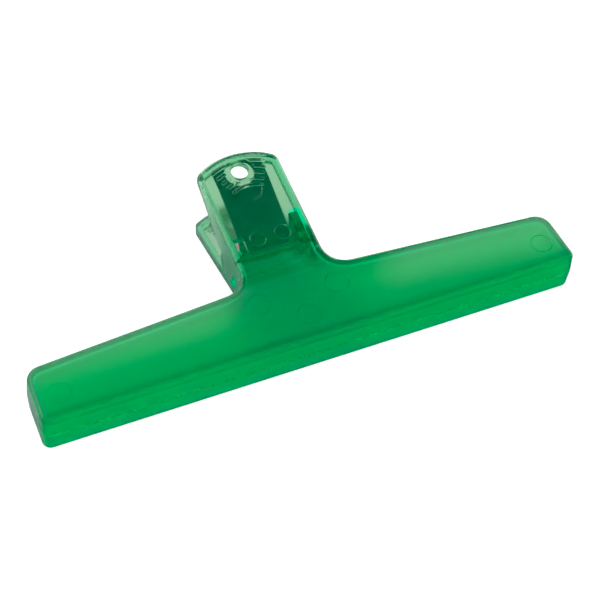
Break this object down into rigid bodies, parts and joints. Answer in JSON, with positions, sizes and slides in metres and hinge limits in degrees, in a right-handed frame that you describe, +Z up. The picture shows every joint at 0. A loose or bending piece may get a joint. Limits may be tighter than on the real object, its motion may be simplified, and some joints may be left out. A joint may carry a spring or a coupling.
{
  "type": "wide spring clip",
  "caption": "Long-jawed spring clip: two flipped translucent shells on moulded hinge pins, closed by a folded flat spring, with ridged handles and hanging holes.",
  "frame": {"origin": "centre of the closed clip's bounding box, on the parting plane between the two jaws; the hinge axis is 4.2 mm behind it", "axes": "+X along the jaw, +Y from the jaw towards the handle tips, +Z up through the upper shell"},
  "size_m": [0.1604, 0.0664, 0.0276],
  "materials": {
    "shell_plastic": "gloss, translucent tinted green",
    "spring_steel": "satin rolled strip"
  },
  "bodies": {
    "lower": {"lower_shell": "shell_plastic", "leaf_spring": "spring_steel"},
    "upper": {"upper_shell": "shell_plastic"}
  },
  "joints": [
    {"name": "jaw_hinge", "type": "hinge", "parent": "lower", "child": "upper", "pos_m": [0, 0.0042, 0], "axis": [-1, 0, 0], "range_deg": [0, 35], "stiffness_Nm_per_rad": 0.4, "springref_deg": -42.97, "deforming": ["leaf_spring"]}
  ]
}
